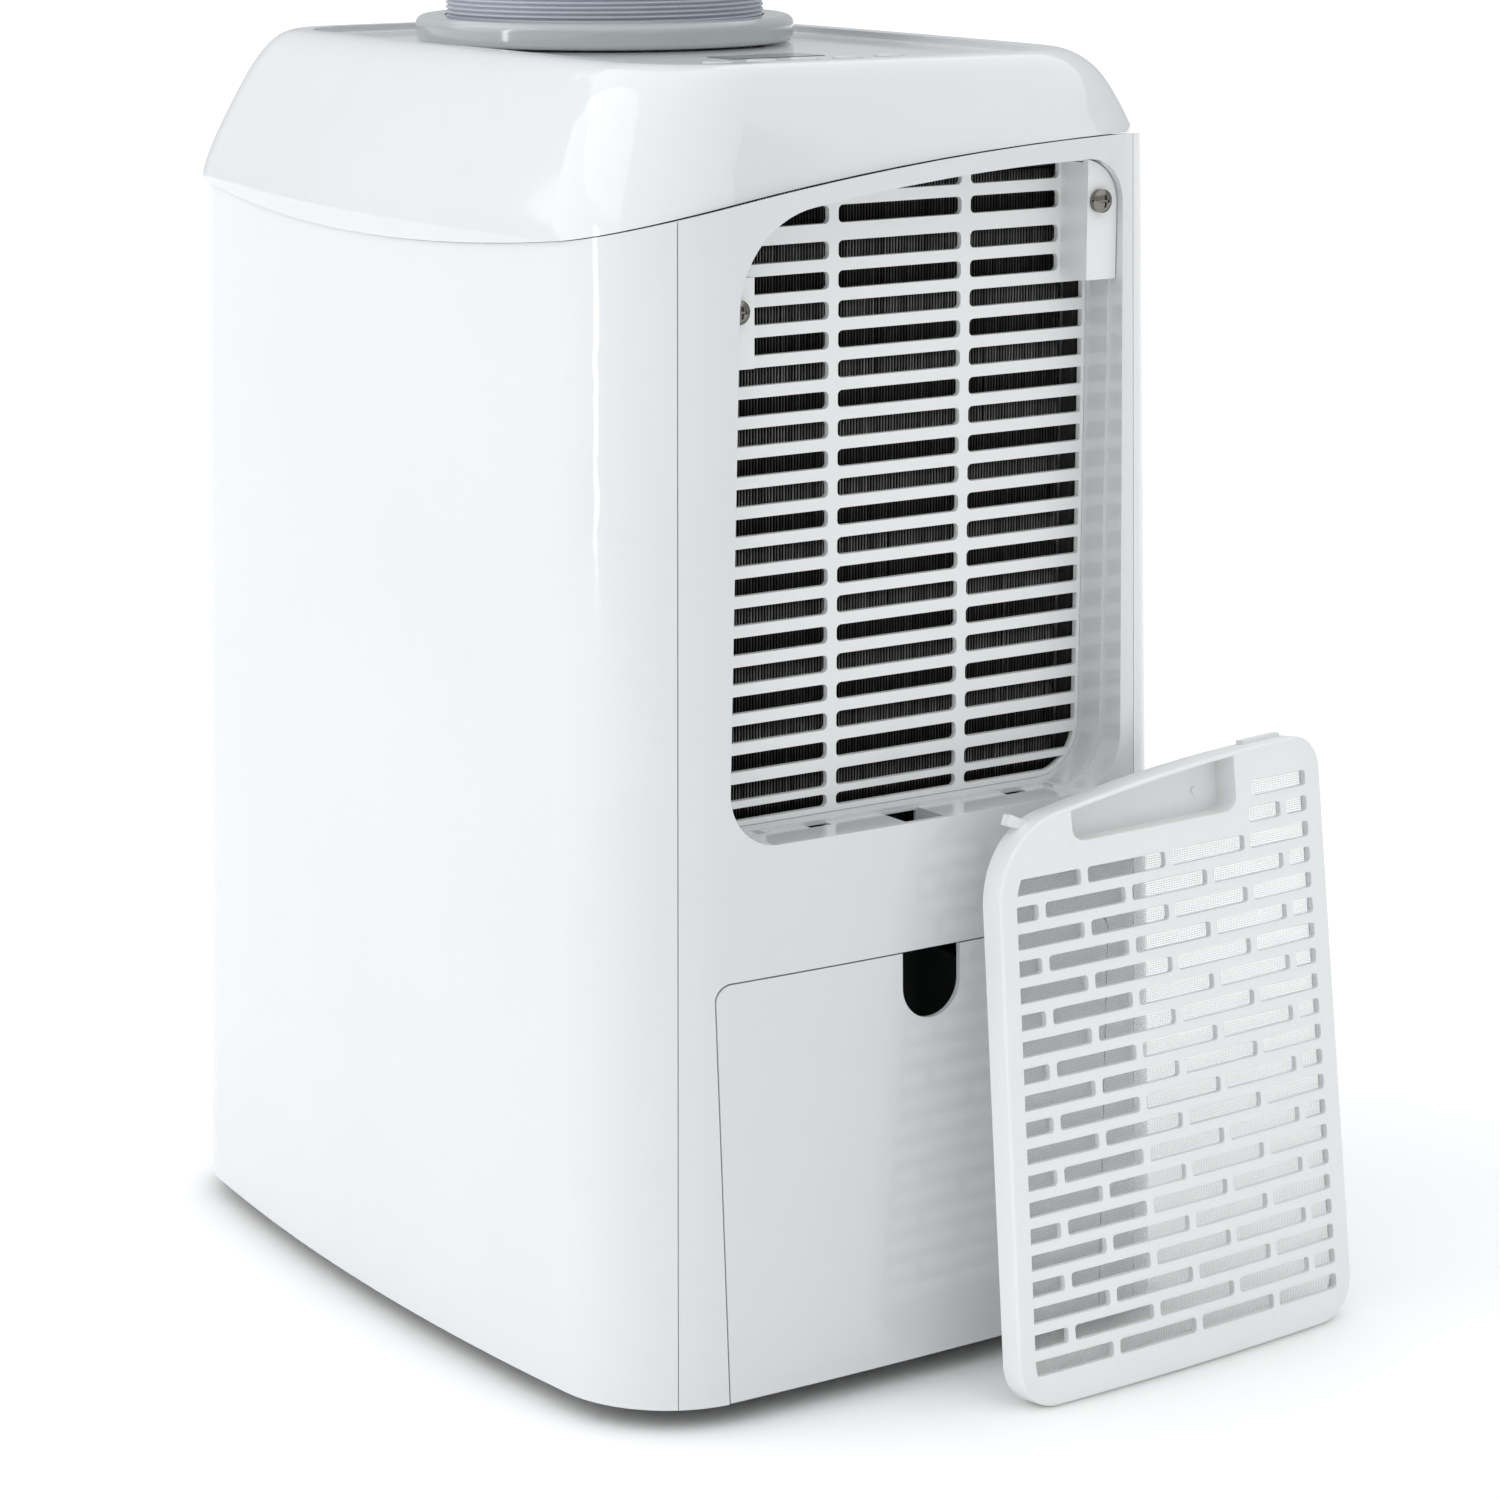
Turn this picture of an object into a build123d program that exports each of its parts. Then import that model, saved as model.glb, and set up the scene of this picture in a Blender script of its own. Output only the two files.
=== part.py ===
from build123d import *
import os
from math import cos, degrees, radians, sin

# Portable air conditioner on castors: a drafted body, a domed top with an exhaust hose,
# a recessed intake with its filter cover taken out and leant beside it, and a water tank.
# Millimetres. +X is the intake side, -Y the front, +Z up. Heights here are measured from the
# underside of the base; the whole model is lifted by FLOOR_GAP and centred when it is written.

# ---- driving dimensions ----
BODY_WIDTH = 463.0          # along X, at the base
FRONT_REACH = 168.6         # from the middle to the crest of the front, at the base
BACK_REACH = 168.0
CORNER_RADII = (50.0, 60.0, 45.0)   # front left, front right, both rear ones
SIDE_BOW = 4.5              # how far the long straight sides bulge
END_BOW = 7.0
FRONT_BOW = 17.0
FRONT_CREST = 25.0          # the front bulges most a little to the intake side of the middle
DRAFT = 0.0204              # the walls lean in by this much for each millimetre of height
WALL = 2.5
SEAM_GAP = 0.5
TOP_HEIGHT = 600.0
FLOOR_GAP = 10.0            # castors hold the base this far off the floor
SHELL_SEAM = 131.0          # front and rear shells start this far from the middle plane
SEAM_LEAN = {-1: 0.0175, 1: 0.006}

RECESS_LEFT = -104.0        # at the floor; the left side leans inwards as it rises
RECESS_LEAN = 0.0365
RECESS_RIGHT = 119.0
RECESS_FLOOR = 258.1
RECESS_TOP = 553.0
RECESS_STEP = 209.0         # the cover's ledge
FLOOR_STEP = 202.5          # the ledge is deeper along the floor
LATCH_SLOTS = [-42.8, 69.8]
THUMB_HOLE = (203.0, 223.0, -6.5, 15.0)
GRILLE_FACE = 193.0
GRILLE_THICK = 3.0
SLOT_PITCH = 13.42
SLOT_HEIGHT = 8.0
FIRST_SLOT_TOP = 521.2
SLOT_ROWS = 19
BOSS_SCREWS = [(213.1, 108.0, 533.2), (206.3, -88.2, 495.0)]

TANK_TOP = 198.0
TANK_HALF_TOP = 112.3
TANK_HALF_FOOT = 107.8
TANK_GAP = 0.7

HOSE_X = -38.0
HOSE_RADIUS = 77.5
COLLAR_RADIUS = 92.3
COLLAR_BASE = 597.6
COLLAR_TOP = 610.0
HOSE_TOP = 895.0
RECESS_TOP_FACE = 596.6     # sunk face of the top

COVER_CLEARANCE = 4.0
COVER_ORIGIN = (-97.5, 261.0)       # where the cover's own zero lies when it is fitted
COVER_WIDTH = 212.5
COVER_DEPTH = 14.0
COVER_SKIN = 3.2
COVER_CURVE = 1377.0        # radius of its gently bowed face
COVER_CREST = 2.3
BRICK_PITCH = 51.8
BRICK_LENGTH = 47.8
BRICK_HEIGHT = 7.5
BRICK_RISE = 12.4
COVER_LEAN = 7.4
COVER_TURN = 3.1
COVER_FOOT = (297.0, 12.0)  # where its lower left corner stands
COVER_LUGS = [(29.5, 269.2, 66.0, 5.0, 11.0), (181.0, 284.6, 2.0, 24.0, 6.0)]  # place, turn, width, length
POCKET_STUD = (138.0, 269.7)

BLOWER_CENTRE = (112.0, -30.0, 405.0)
CASTOR_PLACES = {"front_left": (-178, -117), "front_right": (181, -123),
                 "rear_left": (-186, 128), "rear_right": (186, 128)}
WHEEL_RADIUS = 13.0
CASTOR_TRAIL = 6.0
OUTLET_X = (5.0, 185.0)
OUTLET_Z = (400.0, 500.0)
BLADE_COUNT = 4
BLADE_Y = 146.0
LINK_ARM = 8.0
DRAIN = (-60.0, 40.0)
CORD_INLET = (-150.0, 62.0)
FLOAT_PIVOT = (106.0, 30.0)
COMPRESSOR = (-14.0, -64.0)
BUTTON_NAMES = ["power", "mode", "fan_speed", "timer", "swing"]
BUTTON_RADIUS = 7.0
BUTTON_PLACES = [(132.0, -48.0 + 24.0 * i) for i in range(len(BUTTON_NAMES))]
DISPLAY = ((90.0, 112.0), (-26.0, 26.0))
CENTRED_UP = (Align.CENTER, Align.CENTER, Align.MIN)

NODES = {}


def keep(name, shape):
    """Files one named piece of the machine; a piece may hold several separate solids."""
    NODES[name] = shape


# ---- shared outlines ----
def plan(half_x, front, back, radii, front_bow=FRONT_BOW, crest=FRONT_CREST):
    """Rounded outline whose four sides bulge; radii are front left, front right and rear."""
    cx = half_x - SIDE_BOW
    far = back - END_BOW
    near_left, near_right = [front_bow * ((x - crest) / (BODY_WIDTH / 2)) ** 2 - front for x in (-cx, cx)]
    rim = [
        ThreePointArc((-cx, near_left), (crest, -front), (cx, near_right)),
        ThreePointArc((cx, near_right), (half_x, (near_right + far) / 2), (cx, far)),
        ThreePointArc((cx, far), (0, back), (-cx, far)),
        ThreePointArc((-cx, far), (-half_x, (near_left + far) / 2), (-cx, near_left)),
    ]
    corners = [(-cx, near_left), (cx, near_right), (cx, far), (-cx, far)]
    return round_corners(make_face(rim), corners, (radii[0], radii[1], radii[2], radii[2]))


def round_corners(face, places, radii):
    """Fillets the corner of a face that lies nearest to each place."""
    for place, radius in zip(places, radii):
        near = min(face.vertices(), key=lambda v: (v.X - place[0]) ** 2 + (v.Y - place[1]) ** 2)
        face = fillet(near, radius)
    return face


def body_plan(height, grow=0.0):
    """The body's outline at one height, with its draft."""
    lean = DRAFT * height - grow
    radii = [radius + grow for radius in CORNER_RADII]
    return Pos(0, 0, height) * plan(BODY_WIDTH / 2 - lean, FRONT_REACH - lean, BACK_REACH - lean, radii)


def body_block(low, high, grow=0.0):
    return loft([body_plan(low, grow), body_plan(high, grow)], ruled=True)


def seam_height(x, y):
    """Where the domed top meets the body: lowest in the middle of the front, rising to the rear."""
    run = y + BACK_REACH
    return 513.7 + 2.3 * (x / 200) + 10.6 * (x / 200) ** 2 + 0.2138 * run - 0.00032 * run * run


def above_seam(shift):
    """Everything over the curved seam, moved up by shift."""
    reach = 260
    sections = []
    for y in range(-210, 211, 70):
        left, right = [seam_height(x, y) + shift for x in (-reach, reach)]
        corners = [(-reach, y, left), (-reach, y, 700), (reach, y, 700), (reach, y, right)]
        crest = ThreePointArc(corners[3], (0, y, seam_height(0, y) + shift), corners[0])
        sides = [Line(a, b) for a, b in zip(corners, corners[1:])]
        sections.append(Face(Wire([*[e.edge() for e in sides], crest.edge()])))
    return loft(sections)


def shell_plane(side):
    """The leaning vertical joint between an end shell and the side panels."""
    return Plane(origin=(0, side * SHELL_SEAM, 0), x_dir=(1, 0, 0), z_dir=(0, side, SEAM_LEAN[side]))


def recess_sketch(inset=0.0, floor=RECESS_FLOOR):
    """Outline of the intake recess on the side: one big corner and a gently rising top."""
    right = RECESS_RIGHT - inset
    top = RECESS_TOP - inset
    floor += inset
    left_low, left_high = [RECESS_LEFT + RECESS_LEAN * (z - RECESS_FLOOR) + inset for z in (floor, top - 20)]
    rim = [
        Line((left_low, floor), (right, floor)),
        Line((right, floor), (right, top)),
        ThreePointArc((right, top), (20, top - 4), (left_high, top - 20)),
        Line((left_high, top - 20), (left_low, floor)),
    ]
    corners = [(left_low, floor), (right, floor), (right, top), (left_high, top - 20)]
    return round_corners(make_face(rim), corners, [radius - inset for radius in (25, 26, 21, 46)])


def side_prism(sketch, low_x, high_x):
    """Stands a sketch drawn in Y and Z on the side of the machine."""
    return extrude(Plane.YZ.offset(low_x) * sketch, amount=high_x - low_x)


def drum(x, y, z, radius, length, axis="Z"):
    """Cylinder that starts at a point and runs along an axis."""
    turn = {"Z": Rot(0, 0, 0), "X": Rot(0, 90, 0), "Y": Rot(-90, 0, 0)}[axis]
    return Pos(x, y, z) * turn * Cylinder(radius, length, align=CENTRED_UP)


def block(x0, x1, y0, y1, z0, z1):
    box = Box(x1 - x0, y1 - y0, z1 - z0, align=(Align.MIN, Align.MIN, Align.MIN))
    return Pos(x0, y0, z0) * box


def pipe_run(points, radius):
    """Bent tube through a list of points."""
    path = FilletPolyline(*points, radius=radius * 2.2)
    start = Plane(origin=path @ 0, z_dir=path % 0)
    return sweep(start * Circle(radius), path=path)


# ---- body shells ----
def shell_ring():
    ring = body_block(0, 585) - body_block(-1, 586, -WALL)
    return ring - above_seam(-SEAM_GAP / 2)


def end_shell(ring, side):
    return split(ring, bisect_by=shell_plane(side).offset(SEAM_GAP / 2), keep=Keep.TOP)


def side_panels(ring):
    """The two flat-looking sides left between the front and rear shells."""
    for side in (-1, 1):
        ring = split(ring, bisect_by=shell_plane(side).offset(-SEAM_GAP / 2), keep=Keep.BOTTOM)
    right = split(ring, bisect_by=Plane.YZ, keep=Keep.TOP)
    left = split(ring, bisect_by=Plane.YZ, keep=Keep.BOTTOM)
    return left, right


def tank_outline(gap=0.0):
    """The drawer front: a trapezium with rounded top corners, seen from the side."""
    corners = [(-TANK_HALF_FOOT + gap, -5), (TANK_HALF_FOOT - gap, -5),
               (TANK_HALF_TOP - gap, TANK_TOP - gap), (-TANK_HALF_TOP + gap, TANK_TOP - gap)]
    face = make_face(Polyline(*corners, close=True))
    top = [v for v in face.vertices() if v.Y > 100]
    return fillet(top, 8)


def intake_panel(right):
    """Side panel with the sunk tub that the filter cover sits in and the tank's opening."""
    outer = body_block(0, 585)
    right -= side_prism(recess_sketch(), 200, 240)
    right -= side_prism(tank_outline(), 200, 240)
    tub = side_prism(recess_sketch(-2), GRILLE_FACE - 5.0, 240)
    tub -= side_prism(recess_sketch(), RECESS_STEP, 240)
    tub -= side_prism(recess_sketch(1.5), 100, RECESS_STEP)
    tub = tub & outer
    right += tub
    right -= block(FLOOR_STEP, RECESS_STEP + 1, -74, 90, RECESS_FLOOR, RECESS_FLOOR + 4)
    x0, x1, y0, y1 = THUMB_HOLE
    right += block(x0 - 2, x1 + 1.5, y0 - 2, y1 + 2, RECESS_FLOOR - 13, RECESS_FLOOR - 1)
    right -= block(x0, x1, y0, y1, RECESS_FLOOR - 14, RECESS_FLOOR + 4)
    right -= block(x0 - 3, x0 + 1, y0 + 0.5, y1 - 0.5, RECESS_FLOOR - 12, RECESS_FLOOR - 1.2)
    for middle in LATCH_SLOTS:
        right -= block(FLOOR_STEP, FLOOR_STEP + 5, middle - 5.8, middle + 5.8, 250, 262)
        right -= block(FLOOR_STEP - 8, FLOOR_STEP + 1, middle - 5.8, middle + 5.8, 250, RECESS_FLOOR - 0.7)
    return right


def grille():
    """Slatted guard over the coil, with the two screw bosses moulded in its upper corners."""
    plate = side_prism(recess_sketch(1.7), GRILLE_FACE - GRILLE_THICK, GRILLE_FACE)
    columns = [(-98.0, -29.3), (-24.2, 44.4), (49.5, 116.5)]
    openings = Sketch()
    for row in range(-2, SLOT_ROWS + 1):
        top = FIRST_SLOT_TOP - SLOT_PITCH * row
        height = SLOT_HEIGHT
        if row < 0:
            top += 2.4
        if row == SLOT_ROWS:
            top += 2.1
            height = 5.9
        for left, right in columns:
            if right > 100 and top > 500:
                right = 100.5
            slot = RectangleRounded(right - left, height, min(2.4, height / 2 - 0.1))
            openings += Pos((left + right) / 2, top - height / 2) * slot
    openings = openings & recess_sketch(3.6)
    plate -= side_prism(openings, GRILLE_FACE - GRILLE_THICK - 1, GRILLE_FACE + 1)
    boss_zone = side_prism(recess_sketch(2.0), GRILLE_FACE - 0.5, 213.0)
    boss_zone += side_prism(recess_sketch(0.5), RECESS_STEP + 0.3, 213.0)
    right_boss = block(GRILLE_FACE - 1, 213, 101.4, 125, 497, 560) & boss_zone
    left_boss = block(GRILLE_FACE - 1, 206.2, -110, -78.6, 469.5, 509.5) & boss_zone
    for boss in (right_boss, left_boss):
        plate += boss
    for _, y, z in BOSS_SCREWS:
        plate -= drum(GRILLE_FACE - 6, y, z, 1.6, 30, "X")
    return plate


def truss_screw(length=12.0):
    """Pan-headed cross-recess screw standing on Z with its head up."""
    head = Pos(0, 0, -2.4) * Sphere(7.5) & drum(0, 0, 0, 5.4, 6)
    head -= Pos(0, 0, 6.2) * (Box(5.6, 1.1, 5.0) + Box(1.1, 5.6, 5.0))
    return head + drum(0, 0, -length, 1.5, length + 0.5)


def make_shells():
    ring = shell_ring()
    left, right = side_panels(ring)
    keep("front_shell", end_shell(ring, -1))
    rear = end_shell(ring, 1)
    outlet = block(OUTLET_X[0], OUTLET_X[1], 140, 175, OUTLET_Z[0], OUTLET_Z[1])
    rear -= fillet(outlet.edges().filter_by(Axis.Y), 10)
    rear -= drum(DRAIN[0], 150, DRAIN[1], 9.5, 30, "Y")
    rear -= drum(CORD_INLET[0], 150, CORD_INLET[1], 6.2, 30, "Y")
    keep("rear_shell", rear)
    slots = Sketch()
    for row in range(14):
        for middle in (-72, 0, 72):
            slots += Pos(middle, 60 + 13 * row) * RectangleRounded(64, 7, 3.2)
    keep("condenser_side_panel", left - side_prism(slots, -240, -200))
    keep("intake_side_panel", intake_panel(right))
    keep("intake_grille", grille())


# ---- domed top ----
def dome_block(shrink=0.0):
    """Lofted dome: each level leans towards the rear less than the one under it."""
    levels = [
        # height, slope, half width, front, back, corner radii, bow of the front, its crest
        (500, 0.146, 222.9, 161.7, 159.0, (42, 60, 63), 17, 25),
        (545, 0.146, 222.0, 160.8, 158.1, (42, 60, 63), 17, 25),
        (560, 0.130, 213.6, 156.6, 154.4, (42, 60, 60), 16, 22),
        (575, 0.090, 206.2, 145.3, 149.1, (42, 58, 54), 14, 18),
        (588, 0.040, 199.0, 132.9, 143.7, (41, 55, 48), 12, 12),
        (596, 0.010, 193.0, 122.4, 138.2, (40, 50, 44), 10, 6),
        (TOP_HEIGHT, 0.0, 184.0, 107.3, 130.9, (37, 44, 40), 8, 0),
    ]
    faces = []
    for height, slope, half_x, front, back, radii, bow, crest in levels:
        radii = [radius - shrink for radius in radii]
        face = plan(half_x - shrink, front - shrink, back - shrink, radii, bow, crest)
        faces.append((Pos(0, 0, height - shrink) * Rot(degrees(slope), 0, 0) * face).face())
    return loft(faces[:2], ruled=True) + loft(faces[1:])


def make_top():
    cover = (dome_block() - dome_block(WALL)) & above_seam(SEAM_GAP / 2)
    pool = extrude(Pos(0, 0, RECESS_TOP_FACE) * plan(178, 104, 120, (36, 36, 36), 7, 0), amount=20)
    floor = extrude(Pos(0, 0, RECESS_TOP_FACE - WALL) * plan(191, 122, 134, (42, 42, 42), 7, 0), amount=WALL)
    cover -= pool
    cover += floor & dome_block(0.5)
    cover -= drum(HOSE_X, 0, 580, HOSE_RADIUS + 1.0, 40)
    for x, y in BUTTON_PLACES:
        cover -= drum(x, y, 580, BUTTON_RADIUS + 0.3, 40)
    cover -= block(*DISPLAY[0], *DISPLAY[1], 580, 620)
    keep("top_cover", cover)


# ---- controls on the top ----
def make_controls():
    for name, (x, y) in zip(BUTTON_NAMES, BUTTON_PLACES):
        cap = drum(x, y, 590.0, BUTTON_RADIUS, RECESS_TOP_FACE + 1.0 - 590.0)
        cap = fillet(cap.edges().group_by(Axis.Z)[-1], 0.6)
        keep("button_" + name, cap + drum(x, y, 587.5, 9.0, 2.5))
    (x0, x1), (y0, y1) = DISPLAY
    pane = block(x0 + 0.3, x1 - 0.3, y0 + 0.3, y1 - 0.3, RECESS_TOP_FACE - 2.2, RECESS_TOP_FACE + 0.2)
    keep("display_window", pane)
    case = block(76, 174, -84, 88, 552, 585) - block(78.5, 171.5, -81.5, 85.5, 554.5, 586)
    keep("control_box", case)
    board = block(80, 170, -80, 84, 558, 559.6)
    relays = [(96, -60, 22, 26, 16), (96, 20, 26, 30, 14), (140, 50, 18, 22, 18), (150, -50, 14, 14, 20)]
    for x, y, wide, deep, tall in relays:
        board += block(x, x + wide, y, y + deep, 559.6, 559.6 + tall)
    keep("control_board", board)


# ---- base and castors ----
def make_base():
    inset = -WALL - 0.3
    pan = body_block(0, 24, inset) - body_block(3, 25, inset - WALL)
    pan -= side_prism(tank_outline(), 220, 240)
    pan -= block(200, 240, -108, 108, 3, 30)
    for x, y in CASTOR_PLACES.values():
        cup = drum(x, y, 0, 26.5, 26.0)
        pan += cup & body_block(0, 30, inset)
        pan -= drum(x, y, -1, 24.5, 24.0)
        pan -= drum(x, y, 20, 4.06, 10)
    keep("base_pan", pan)


def make_castors():
    axle_height = WHEEL_RADIUS - FLOOR_GAP
    for name, (x, y) in CASTOR_PLACES.items():
        wheel_x = x - CASTOR_TRAIL
        fork = drum(x, y, 19.0, 12.0, 3.6) + drum(x, y, 22.0, 4.0, 9.0) + drum(x, y, 26.4, 6.5, 1.6)
        fork += block(wheel_x - 5, x + 6, y - 2.4, y + 2.4, 8.0, 19.5)
        fork += drum(wheel_x, y - 2.4, axle_height, 6.5, 4.8, "Y")
        fork += block(wheel_x - 5, wheel_x + 5, y - 2.4, y + 2.4, axle_height, 9.0)
        fork += drum(wheel_x, y - 11.2, axle_height, 2.0, 22.4, "Y")
        keep("castor_fork_" + name, fork)
        wheels = []
        for start in (3.0, -10.5):
            tread = drum(wheel_x, y + start, axle_height, WHEEL_RADIUS, 7.5, "Y")
            tread = fillet(tread.edges().filter_by(GeomType.CIRCLE), 1.6)
            wheels.append(tread - drum(wheel_x, y + start - 1, axle_height, 2.05, 10, "Y"))
        keep("castor_wheels_" + name, Compound(wheels))


# ---- water tank ----
def make_tank():
    front = side_prism(tank_outline(TANK_GAP), 150, 240)
    front = front & (body_block(0.4, 210) - body_block(0.3, 211, -2.6))
    notch = Pos(5.6, 181) * Circle(16.4) + Pos(5.6, 200) * Rectangle(32.8, 38)
    front -= side_prism(notch, 180, 240)
    for y in (-83, 83):
        front += side_prism(Pos(y, 80) * Rectangle(3, 130), 214.5, 227)
    keep("tank_front", front)
    bin_outer = fillet(block(94, 214.5, -94, 94, 3.4, 158).edges().filter_by(Axis.Z), 10)
    bin_inner = fillet(block(96.5, 212, -91.5, 91.5, 6.0, 160).edges().filter_by(Axis.Z), 7.5)
    bin_inner = bin_inner & block(90, 220, -120, 120, 0, 170)
    water_tank = bin_outer - bin_inner
    for y in (-21.0, 18.0):
        lug = block(95.5, 113, y, y + 3.0, 22, 36)
        water_tank += lug - drum(FLOAT_PIVOT[0], y - 1, FLOAT_PIVOT[1], 1.56, 5, "Y")
    keep("tank_bin", water_tank)
    lever = block(FLOAT_PIVOT[0] - 3, 128, -8, 8, FLOAT_PIVOT[1] - 3, FLOAT_PIVOT[1] + 3)
    lever += block(118, 156, -14, 14, 9, 28)
    lever += drum(FLOAT_PIVOT[0], -21.4, FLOAT_PIVOT[1], 1.5, 42.8, "Y")
    keep("tank_float", lever)


# ---- refrigeration circuit ----
def coil(name, x0, x1, y0, y1, z0, z1, rows):
    """Finned block with two columns of tubes, hairpin ends and a plate at each end."""
    pitch = (z1 - z0) / rows
    columns = (x0 + (x1 - x0) * 0.28, x0 + (x1 - x0) * 0.72)
    fins = block(x0, x1, y0, y1, z0, z1)
    plates = block(x0 - 1, x1 + 1, y0 - 1.6, y0 - 0.1, z0 - 1, z1 + 1)
    plates = plates + block(x0 - 1, x1 + 1, y1 + 0.1, y1 + 1.6, z0 - 1, z1 + 1)
    tubes = []
    for row in range(rows):
        z = z0 + pitch * (row + 0.5)
        for x in columns:
            fins -= drum(x, y0 - 1, z, 4.9, y1 - y0 + 2, "Y")
            plates -= drum(x, y0 - 3, z, 4.9, y1 - y0 + 6, "Y")
        for x in columns:
            tubes.append(drum(x, y0 - 3, z, 4.8, y1 - y0 + 6, "Y"))
        middle = (columns[0] + columns[1]) / 2
        ring = Pos(middle, y1 + 3, z) * Torus((columns[1] - columns[0]) / 2, 4.8)
        tubes.append(ring & block(columns[0] - 11, columns[1] + 11, y1 + 3, y1 + 40, z - 6, z + 6))
    keep(name + "_fins", fins)
    keep(name + "_end_plates", plates)
    bundle = tubes[0]
    bundle = bundle.fuse(*tubes[1:])
    keep(name + "_tubes", bundle)


def make_circuit():
    coil("evaporator", 150, 180, -104, 112, 247, 546, 11)
    coil("condenser", -206, -176, -116, 116, 34, 234, 8)
    tray = block(140, 186.5, -116, 128, 243.2, 252) - block(142, 184.5, -114, 126, 245.2, 253)
    keep("drip_tray", tray)
    x, y = COMPRESSOR
    can = drum(x, y, 44, 52, 92) + Pos(x, y, 44) * Rot(180, 0, 0) * Cone(52, 40, 9, align=CENTRED_UP)
    can += Pos(x, y, 136) * Cone(52, 36, 14, align=CENTRED_UP) + drum(x, y, 88, 54, 4)
    can += drum(x, y, 30, 62, 4.0) + drum(x, y, 33, 42, 5)
    can += drum(x, y + 18, 149, 14, 10)
    feet = []
    for turn in (30, 150, 270):
        fx = x + 54 * cos(radians(turn))
        fy = y + 54 * sin(radians(turn))
        can -= drum(fx, fy, 20, 4.2, 20)
        feet.append(drum(fx, fy, 3.0, 9.0, 27.0) + drum(fx, fy, 29, 4.0, 8.0) + drum(fx, fy, 34.2, 7.5, 3.0))
    keep("compressor", can)
    keep("compressor_mounts", Compound(feet))
    flask = drum(-86, -92, 60, 17, 84) + Pos(-86, -92, 144) * Cone(17, 6, 12, align=CENTRED_UP)
    flask += Pos(-86, -92, 60) * Rot(180, 0, 0) * Cone(17, 6, 12, align=CENTRED_UP)
    keep("accumulator", flask)
    suction = [(-86, -92, 156.5), (-86, -92, 176), (x, -92, 176), (x, y, 176), (x, y, 150.5)]
    discharge = [(x + 30, y, 150.6), (x + 30, y, 170), (60, y, 170), (60, -132, 170), (60, -132, 300)]
    charge = [(-86, -92, 47.5), (-86, -92, 30), (-140, -92, 30), (-140, -134, 30), (-140, -134, 60)]
    lines = [pipe_run(suction, 4.0), pipe_run(discharge, 4.0), pipe_run(charge, 3.2)]
    keep("refrigerant_pipes", Compound(lines))


# ---- air paths ----
def make_deck():
    inset = -WALL - 0.3
    deck = body_block(240, 243, inset) - drum(HOSE_X, 0, 230, 76, 30)
    deck -= drum(60, -132, 230, 6, 30)
    keep("partition_deck", deck)
    duct = drum(HOSE_X, 0, 182, 74, 402) - drum(HOSE_X, 0, 181, 72, 410)
    duct += drum(HOSE_X, 0, 182, 80, 2) - drum(HOSE_X, 0, 181, 72, 10)
    keep("exhaust_duct", duct)
    spigot = drum(HOSE_X, 0, 584.5, 73.5, 27) + drum(HOSE_X, 0, 590, 90, 3.8)
    keep("hose_outlet", spigot - drum(HOSE_X, 0, 580, 70.5, 50))


def fan_wheel():
    """Axial fan with swept plate blades on a hub, turning about Z."""
    hub = drum(HOSE_X, 0, 200, 24, 34)
    for k in range(7):
        blade = Pos(43, 0, 0) * Rot(32, 0, 0) * Box(46, 36, 2)
        hub += Pos(HOSE_X, 0, 217) * Rot(0, 0, 360 / 7 * k) * blade
    hub = hub & drum(HOSE_X, 0, 190, 69, 60)
    return hub + drum(HOSE_X, 0, 230, 4.0, 66)


def make_fans():
    keep("condenser_fan", fan_wheel())
    motor = drum(HOSE_X, 0, 240, 32, 50)
    for turn in (0, 120, 240):
        motor += Pos(HOSE_X, 0, 264) * Rot(0, 0, turn) * Pos(50, 0, 0) * Box(42.6, 12, 3)
    keep("condenser_fan_motor", motor - drum(HOSE_X, 0, 238, 4.06, 62))
    x, y, z = BLOWER_CENTRE
    spiral = Pos(y, z) * Circle(104) + Pos(y + 79, z + 54) * Rectangle(158, 100)
    hollow = Pos(y, z) * Circle(101.5) + Pos(y + 79 + 3, z + 54) * Rectangle(160, 95)
    scroll = side_prism(spiral, x - 36, x + 32) - side_prism(hollow, x - 33.5, x + 29.5)
    scroll -= drum(x + 20, y, z, 70, 20, "X")
    scroll -= drum(x - 40, y, z, 7, 10, "X")
    keep("blower_scroll", scroll)
    wheel = drum(x - 30, y, z, 84, 2, "X") + (drum(x + 22, y, z, 84, 3, "X") - drum(x + 20, y, z, 72, 8, "X"))
    for k in range(32):
        vane = Rot(360 / 32 * k, 0, 0) * Pos(0, 0, 77) * Rot(38, 0, 0) * Box(54, 1.2, 13)
        wheel += Pos(x - 3, y, z) * vane
    wheel += drum(x - 29, y, z, 14, 22, "X") + drum(x - 68, y, z, 4.0, 60, "X")
    keep("blower_wheel", wheel)
    motor = drum(x - 72, y, z, 40, 35, "X") - drum(x - 73, y, z, 4.06, 40, "X")
    keep("blower_motor", motor)


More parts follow.
